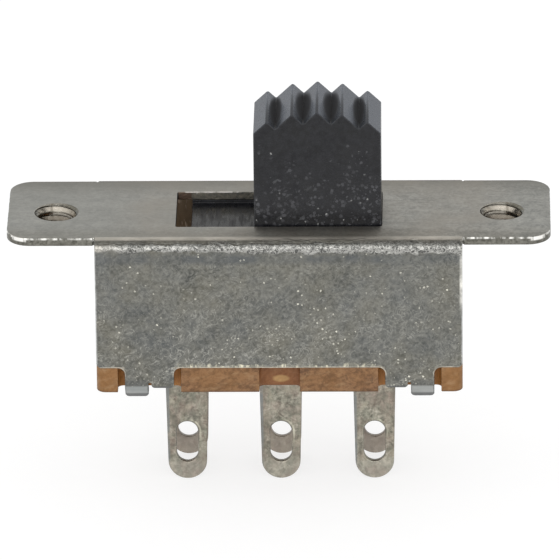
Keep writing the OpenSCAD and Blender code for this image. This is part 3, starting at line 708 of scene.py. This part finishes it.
# %% The slider's finish
def black_moulding():
    material, tree, shader, place = new_material("black_moulding")
    x, y, z = split(tree, place)
    # Each valley gets a dull lens of painted shade, where its flanks reflect each other darkly.
    valley_shade = 0.0
    for valley, half_width in VALLEYS:
        sideways = maths(tree, "DIVIDE", minus(tree, x, valley), half_width)
        lengthways = maths(tree, "DIVIDE", minus(tree, y, MIDDLE_Y), VALLEY_SHADE_HALF_LENGTH)
        out = squares(tree, sideways, lengthways)
        valley_shade = larger(tree, ramp(tree, out, 1.25, 0.45), valley_shade)
    above_shoulder = maths(tree, "GREATER_THAN", z, KNOB_SHOULDER)
    valley_shade = times(tree, valley_shade, above_shoulder)
    skin = noise(tree, place, 6.0, roughness=0.6)
    smear = noise(tree, place, 0.8)
    edge = use(tree, edge_group, Vector=place, Radius=0.15, Ragged=0.6)["Mask"]
    color = blend(tree, ramp(tree, smear, 0.35, 0.7), (0.0035, 0.0035, 0.006), (0.0095, 0.0095, 0.01))
    tint = ramp(tree, noise(tree, place, 2.6, detail=4, roughness=0.75), 0.38, 0.64)
    color = paint(tree, color, (0.0178, 0.0185, 0.0215), tint)
    # Painted highlights along the edges, fuller on the knob's top and kept out of the valleys' shade.
    high = ramp(tree, z, KNOB_SHOULDER - 0.6, KNOB_SHOULDER, 0.75, 1.0)
    edge = times(tree, edge, minus(tree, 1.0, valley_shade))
    color = paint(tree, color, (0.11, 0.115, 0.128), edge, high)

    # Lint and dust, thicker towards the foot of the knob and gathered in drifts.
    on_side = band(tree, z, 0.0, KNOB_SHOULDER, 0.01)
    drift = plus(tree, noise(tree, place, 0.35, detail=2), ramp(tree, z, 5.9, 2.0, -0.16, 0.12))
    drift = ramp(tree, drift, 0.35, 0.6)
    small = use(tree, specks_group, Vector=place, Scale=4.1, Size=0.34, Share=drift)["Mask"]
    flakes = stretched(tree, place, (0.6, 1.0, 1.5), turn=(0, 35, 0))
    lint = use(tree, specks_group, Vector=flakes, Scale=2.2, Size=0.26,
               Share=times(tree, drift, 0.5))["Mask"]
    bright = use(tree, specks_group, Vector=place, Scale=2.0, Size=0.13,
                 Share=times(tree, drift, 0.6))["Mask"]
    color = paint(tree, color, (0.02, 0.02, 0.022), drift, smear, 0.8, on_side)
    color = paint(tree, color, (0.08, 0.081, 0.088), small, on_side)
    color = paint(tree, color, (0.08, 0.082, 0.087), lint, on_side)
    color = paint(tree, color, (0.4, 0.4, 0.39), bright, on_side)

    # The ridges' upward faces are painted a lighter blue-grey, a painted sheen, and the carriage is
    # scuffed from sliding.
    up = split(tree, add(tree, "ShaderNodeNewGeometry").outputs["True Normal"])["Z"]
    color = paint(tree, color, (0.031, 0.037, 0.05), ramp(tree, up, 0.2, 0.5), above_shoulder, 0.5)
    on_carriage = maths(tree, "LESS_THAN", z, 0.0)
    roughness = ramp(tree, skin, 0.3, 0.7, 0.22, 0.32)
    rubbed = noise(tree, stretched(tree, place, (3.2, 0.5, 1.0)), 1.0, detail=4, roughness=0.7)
    worn = ramp(tree, rubbed, 0.4, 0.62, 0.12, 0.5)
    roughness = mix(tree, on_carriage, roughness, worn)
    roughness = mix(tree, valley_shade, roughness, 0.75)
    # The valleys' painted shade, almost black in the rounded foot of each valley.
    color = paint(tree, color, (0.016, 0.0165, 0.019), valley_shade)
    color = paint(tree, color, (0.003, 0.003, 0.004), valley_shade, ramp(tree, up, 0.82, 0.95))
    shader.inputs["IOR"].default_value = 1.39
    finish_with(tree, shader, color, roughness, bump(tree, skin, 0.003, 0.3))
    return material


moulding = black_moulding()
print("material:", moulding.name)

# %% [markdown]
# ## Contact metal and spring wire
#
# The shoes and springs are hidden inside and only glimpsed from below or in a cut. Rolled
# copper alloy and drawn wire need no more than fine lines along the metal and some tarnish.

# %% The hidden metals' finishes
def rolled_metal(name, dark, light, rough):
    material, tree, shader, place = new_material(name)
    lines = use(tree, lines_group, Vector=place, Along=0.6, Across=11.0)
    tarnish = noise(tree, place, 1.1, detail=4)
    tone = maths(tree, "MULTIPLY", plus(tree, lines["Tone"], tarnish), 0.6, clamp=True)
    color = blend(tree, tone, dark, light)
    finish_with(tree, shader, color, ramp(tree, tarnish, 0.3, 0.7, rough, rough + 0.15),
                bump(tree, lines["Height"], 0.006, 0.5), metallic=1.0)
    return material


copper = rolled_metal("contact_copper", (0.42, 0.22, 0.12), (0.72, 0.46, 0.3), 0.25)
wire = rolled_metal("spring_wire", (0.3, 0.3, 0.29), (0.55, 0.55, 0.53), 0.22)
print("materials:", copper.name, wire.name)

# %% [markdown]
# ## Screw threads in the ears
#
# The ears are tapped for a small machine screw, 0.635 mm from one thread to the next. The CAD
# has a plain bore at the thread's inner radius, so the thread is what a tap cuts away: a coil
# of wedge section for each hole. Both are swept here in one mesh, and a boolean modifier takes
# them out of the frame. The cutter itself never shows.

# %% A cutter in the shape of a tap
PITCH, BORE_RADIUS, THREAD_RADIUS = 0.635, 1.15, 1.42
COLLAR_FOOT = -1.15     # the height at which the collar round each hole ends
OVERRUN = 0.5           # the coil starts this far below the collar and ends this far above the top
COIL_RADIUS = BORE_RADIUS - 0.14     # of the coil's hidden inner side, inside the bore
ROOT_HALF, CREST_HALF = 0.272, 0.035   # half the wedge's height at its inner and outer sides


def thread_cutter(name, holes, steps=40):
    wedge = [(COIL_RADIUS, -ROOT_HALF), (THREAD_RADIUS, -CREST_HALF),
             (THREAD_RADIUS, CREST_HALF), (COIL_RADIUS, ROOT_HALF)]
    count = int(steps * (OVERRUN - COLLAR_FOOT + OVERRUN) / PITCH)
    points, faces = [], []
    for hole_x in holes:
        first = len(points)
        for i in range(count + 1):
            angle = 2 * math.pi * i / steps
            for r, up in wedge:
                points.append((hole_x + r * math.cos(angle), r * math.sin(angle),
                               COLLAR_FOOT - OVERRUN + PITCH * i / steps + up))
        for i in range(count):
            for k in range(4):
                a, b = first + 4 * i + k, first + 4 * i + (k + 1) % 4
                faces.append((a, a + 4, b + 4, b))
        faces.append(tuple(range(first, first + 4)))
        faces.append(tuple(first + 4 * count + k for k in (3, 2, 1, 0)))
    mesh = bpy.data.meshes.new(name)
    mesh.from_pydata([Vector(point) * MM for point in points], [], faces)
    mesh.validate()
    cutter = bpy.data.objects.new(name, mesh)
    bpy.context.scene.collection.objects.link(cutter)
    cutter.hide_render = True
    cutter.display_type = "WIRE"
    return cutter


threads = thread_cutter("thread_cutter", (-HOLE_X, HOLE_X))
print("thread cutter:", len(threads.data.polygons), "faces")

# %% [markdown]
# ## Soft edges on the CAD solids
#
# The solids have knife edges, and nothing real has: a sheared or moulded edge is rounded by a
# few hundredths of a millimetre, and that narrow strip is what catches the light. A chain of
# modifiers rounds them without touching the meshes: weld the corners, merge the flat
# triangles into whole faces, bevel every edge sharper than a limit, then even out the normals.

# %% Modifiers for every CAD part
smooth_group = bpy.data.node_groups.new("shade_smooth", "GeometryNodeTree")
smooth_group.interface.new_socket("Geometry", in_out="INPUT", socket_type="NodeSocketGeometry")
smooth_group.interface.new_socket("Geometry", in_out="OUTPUT", socket_type="NodeSocketGeometry")
shape_in = smooth_group.nodes.new("NodeGroupInput").outputs[0]
faces = add(smooth_group, "GeometryNodeSetShadeSmooth", {"Geometry": shape_in}, domain="FACE")
edges = add(smooth_group, "GeometryNodeSetShadeSmooth",
            {"Geometry": faces.outputs[0]}, domain="EDGE")
smooth_group.links.new(edges.outputs[0], smooth_group.nodes.new("NodeGroupOutput").inputs[0])


def soften(part, width, segments=2, limit=35, cutter=None):
    """Rounds edges sharper than limit, in degrees, by width, in millimetres, and cuts threads."""
    weld = part.modifiers.new("weld", "WELD")
    weld.merge_threshold = 0.0001 * MM
    flat = part.modifiers.new("whole_faces", "DECIMATE")
    flat.decimate_type = "DISSOLVE"
    flat.angle_limit = math.radians(0.5)
    bevel = part.modifiers.new("soft_edges", "BEVEL")
    bevel.width = width * MM
    bevel.segments = segments
    bevel.limit_method = "ANGLE"
    bevel.angle_limit = math.radians(limit)
    bevel.use_clamp_overlap = False
    bevel.loop_slide = bool(cutter)
    if cutter:
        cut = part.modifiers.new("cut", "BOOLEAN")
        cut.operation, cut.solver, cut.object = "DIFFERENCE", "EXACT", cutter
    smooth = part.modifiers.new("smooth", "NODES")
    smooth.node_group = smooth_group
    even = part.modifiers.new("even_normals", "WEIGHTED_NORMAL")
    even.weight = 100
    triangles = part.modifiers.new("triangles", "TRIANGULATE")
    triangles.keep_custom_normals = True


# The start of each part's name, its material, and the width and segments of its round edges.
# The springs' wire has no edges.
FINISHES = {"frame": (steel, 0.045, 3), "liner": (liner_finish, 0.02, 1),
            "terminal_board": (board_finish, 0.05, 2), "slider": (moulding, 0.05, 2),
            "lug_": (tin, 0.07, 3), "shoe_": (copper, 0.04, 2), "spring_": (wire, 0, 0)}
for name, part in sorted(NODES.items()):
    material, width, segments = next(FINISHES[start] for start in FINISHES if name.startswith(start))
    if name == "frame":
        soften(part, width, segments, limit=60, cutter=threads)
    elif width:
        soften(part, width, segments)
    part.data.materials.clear()
    part.data.materials.append(material)
    print(name, "is", material.name)

# %% [markdown]
# ## The studio
#
# A small bright metal part shows its surroundings, so they matter more than the lamps. It
# stands on a white table under an even white sky, with one wide soft panel in front that draws
# the light line along the fold. For the camera and in reflections the table gives off some
# light of its own, which brings it up to white and still leaves the soft shadow.

# %% What polished metal sees, from the horizon behind over the top to the horizon in front
SKY = [(0.001, (0.86, 0.92, 1.02)), (0.06, (0.86, 0.91, 0.98)), (0.12, (0.8, 0.8, 0.78)),
       (0.2, (0.76, 0.76, 0.74)), (0.27, (0.98, 0.96, 0.92)), (0.38, (0.98, 0.96, 0.92)),
       (0.46, (0.56, 0.54, 0.51)), (0.63, (0.5, 0.48, 0.455)),
       (0.7, (1.1, 1.1, 1.08)), (0.94, (1.1, 1.1, 1.08)), (0.999, (0.85, 0.85, 0.85))]

# %% Table, sky and panel
TABLE_HALF = 1500 * MM
TABLE_GAP = 0.01 * MM   # below the lowest point of the lugs


def make_table():
    mesh = bpy.data.meshes.new("table")
    mesh.from_pydata([(TABLE_HALF * x, TABLE_HALF * y, 0) for x, y in ((-1, -1), (1, -1), (1, 1), (-1, 1))],
                     [], [(0, 1, 2, 3)])
    table = bpy.data.objects.new("table", mesh)
    table.location.z = low_start.z - TABLE_GAP
    bpy.context.scene.collection.objects.link(table)
    material, tree, shader, place = new_material("table_top")
    grain = blend(tree, noise(tree, place, 0.9, detail=2), (0.29, 0.29, 0.29), (0.31, 0.31, 0.31))
    put(tree, shader.inputs["Base Color"], grain)
    shader.inputs["Roughness"].default_value = 0.9
    shader.inputs["Specular IOR Level"].default_value = 0.0
    rays = add(tree, "ShaderNodeLightPath").outputs
    seen = larger(tree, rays["Is Camera Ray"],
                  larger(tree, rays["Is Glossy Ray"], rays["Is Transmission Ray"]))
    put(tree, shader.inputs["Emission Color"], blend(tree, seen, (0, 0, 0), (0.75, 0.75, 0.75)))
    shader.inputs["Emission Strength"].default_value = 1.0
    mesh.materials.append(material)
    return table


def make_sky():
    """White for the camera and for matt surfaces; polished ones see the tones of SKY instead."""
    world = bpy.data.worlds.new("studio_sky")
    world.use_nodes = True
    tree = world.node_tree
    toward = split(tree, add(tree, "ShaderNodeTexCoord").outputs["Generated"])
    # 0 on the horizon behind, 0.5 straight up, 1 on the horizon in front.
    arc = maths(tree, "DIVIDE", maths(tree, "ARCTAN2", toward["Z"], toward["Y"]), math.pi)
    bows = add(tree, "ShaderNodeValToRGB", {"Fac": arc})
    stops = bows.color_ramp.elements
    for position, color in SKY:
        stop = stops.new(position)
        stop.color = (*color, 1)
    while len(stops) > len(SKY):
        stops.remove(stops[0] if stops[0].position == 0.0 else stops[-1])
    rays = add(tree, "ShaderNodeLightPath").outputs
    color = blend(tree, rays["Is Glossy Ray"], (0.95, 0.95, 0.95), bows.outputs["Color"])
    color = paint(tree, color, (1, 1, 1), rays["Is Camera Ray"])
    put(tree, tree.nodes["Background"].inputs["Color"], color)
    bpy.context.scene.world = world


def make_panel(name, place, aim, size, radiance):
    """A soft light panel, size (width, height) in millimetres, of the given brightness."""
    light = bpy.data.lights.new(name, "AREA")
    light.shape = "RECTANGLE"
    light.size, light.size_y = size[0] * MM, size[1] * MM
    light.energy = radiance * math.pi * light.size * light.size_y
    lamp = bpy.data.objects.new(name, light)
    lamp.location = Vector(place) * MM
    lamp.rotation_euler = (Vector(aim) - Vector(place)).to_track_quat("-Z", "Y").to_euler()
    lamp.visible_camera = False
    bpy.context.scene.collection.objects.link(lamp)


table = make_table()
make_sky()
make_panel("front_panel", place=(0, -400, 70), aim=(0, 0, 0), size=(460, 190), radiance=1.6)
print("table at", round(table.location.z / MM, 2), "mm")

# %% [markdown]
# ## The camera
#
# A long lens from well back, a little above the switch, keeps the long edges almost parallel.

# %% Camera
AZIMUTH, ELEVATION, ROLL = 1.054, 24.065, -0.602  # degrees
CAMERA_AIM = Vector((0, 0.4, -4.994)) * MM
CAMERA_DISTANCE = 691.4 * MM
azimuth, elevation, roll = (math.radians(a) for a in (AZIMUTH, ELEVATION, ROLL))
back = Vector((math.sin(azimuth) * math.cos(elevation), -math.cos(azimuth) * math.cos(elevation),
               math.sin(elevation)))
right = Vector((0, 0, 1)).cross(back).normalized()
up = back.cross(right)
camera = bpy.data.objects.new("camera", bpy.data.cameras.new("camera"))
camera.data.lens = 690.0
camera.data.sensor_width = 36
camera.data.clip_start, camera.data.clip_end = 0.05, 20
upright = Matrix((right, up, back)).transposed().to_4x4()
camera.matrix_world = (Matrix.Translation(CAMERA_AIM + back * CAMERA_DISTANCE)
                       @ upright @ Matrix.Rotation(roll, 4, "Z"))
bpy.context.scene.collection.objects.link(camera)
bpy.context.scene.camera = camera
bpy.context.scene.view_settings.view_transform = "Standard"
print("camera at, mm:", [round(v / MM, 1) for v in camera.matrix_world.translation])
